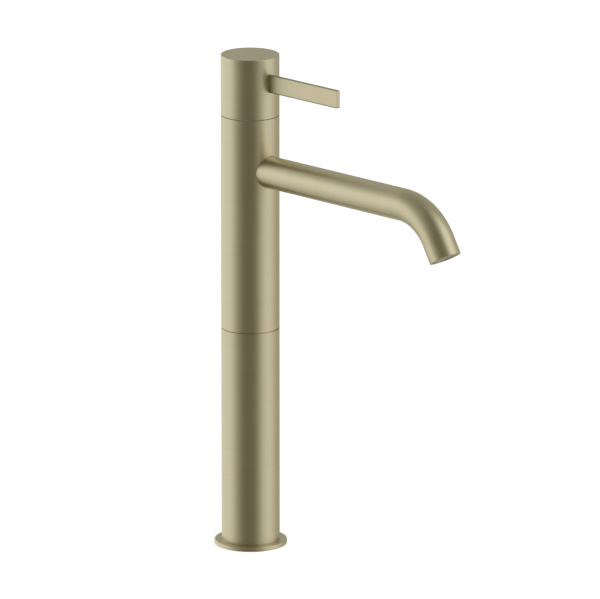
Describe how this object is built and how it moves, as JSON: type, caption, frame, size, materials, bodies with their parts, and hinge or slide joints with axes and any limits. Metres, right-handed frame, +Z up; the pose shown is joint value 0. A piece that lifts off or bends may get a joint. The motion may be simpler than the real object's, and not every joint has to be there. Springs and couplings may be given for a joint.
{
  "type": "basin mixer faucet",
  "caption": "Tall deck-mounted basin mixer: slim round column, straight round spout bent down at its end, and a turning cap with a flat blade lever that opens and mixes the flow.",
  "frame": {"origin": "centre of the base flange's underside, where it sits on the deck", "axes": "+Z up along the column, +X along the spout and the closed lever, -Z down through the deck"},
  "size_m": [0.22, 0.05, 0.405],
  "materials": {
    "brushed_gold": "fine satin brushing under a thin hard coat, champagne gold",
    "raw_brass": "machined brass",
    "stainless": "plain stainless steel",
    "black_rubber": "moulded rubber",
    "disc_ceramic": "lapped alumina",
    "white_acetal": "moulded acetal",
    "dark_plastic": "moulded glass-filled plastic",
    "aerator_plastic": "moulded pale grey plastic"
  },
  "bodies": {
    "faucet_body": {"base_flange": "brushed_gold", "extension_tube": "brushed_gold", "upper_body": "brushed_gold", "spout_tube": "brushed_gold", "mounting_shank": "raw_brass", "clamp_nut": "raw_brass", "coupling_sleeve": "raw_brass", "valve_block": "raw_brass", "spout_nipple": "raw_brass", "cartridge_nut": "raw_brass", "clamp_steel_washer": "stainless", "spout_set_screw": "stainless", "aerator_screen": "stainless", "base_seal": "black_rubber", "clamp_rubber_washer": "black_rubber", "coupling_o_ring": "black_rubber", "spout_o_rings": "black_rubber", "aerator_seal": "black_rubber", "cartridge_seals": "black_rubber", "fixed_disc": "disc_ceramic", "cartridge_housing": "white_acetal", "glide_ring": "white_acetal", "stop_ring": "white_acetal", "cartridge_base": "dark_plastic", "aerator_housing": "aerator_plastic", "aerator_honeycomb": "aerator_plastic", "aerator_jet_former": "aerator_plastic"},
    "handle": {"handle_cap": "brushed_gold", "lever_blade": "brushed_gold", "lever_washer": "stainless", "lever_nut": "stainless", "handle_hub": "raw_brass", "hub_screw": "stainless", "handle_set_screw": "stainless", "cartridge_spindle": "raw_brass", "spindle_o_ring": "black_rubber", "disc_driver": "white_acetal", "moving_disc": "disc_ceramic"}
  },
  "joints": [
    {"name": "handle_turn", "type": "hinge", "parent": "faucet_body", "child": "handle", "pos_m": [0, 0, 0.296], "axis": [0, 0, 1], "range_deg": [0, 100]}
  ]
}
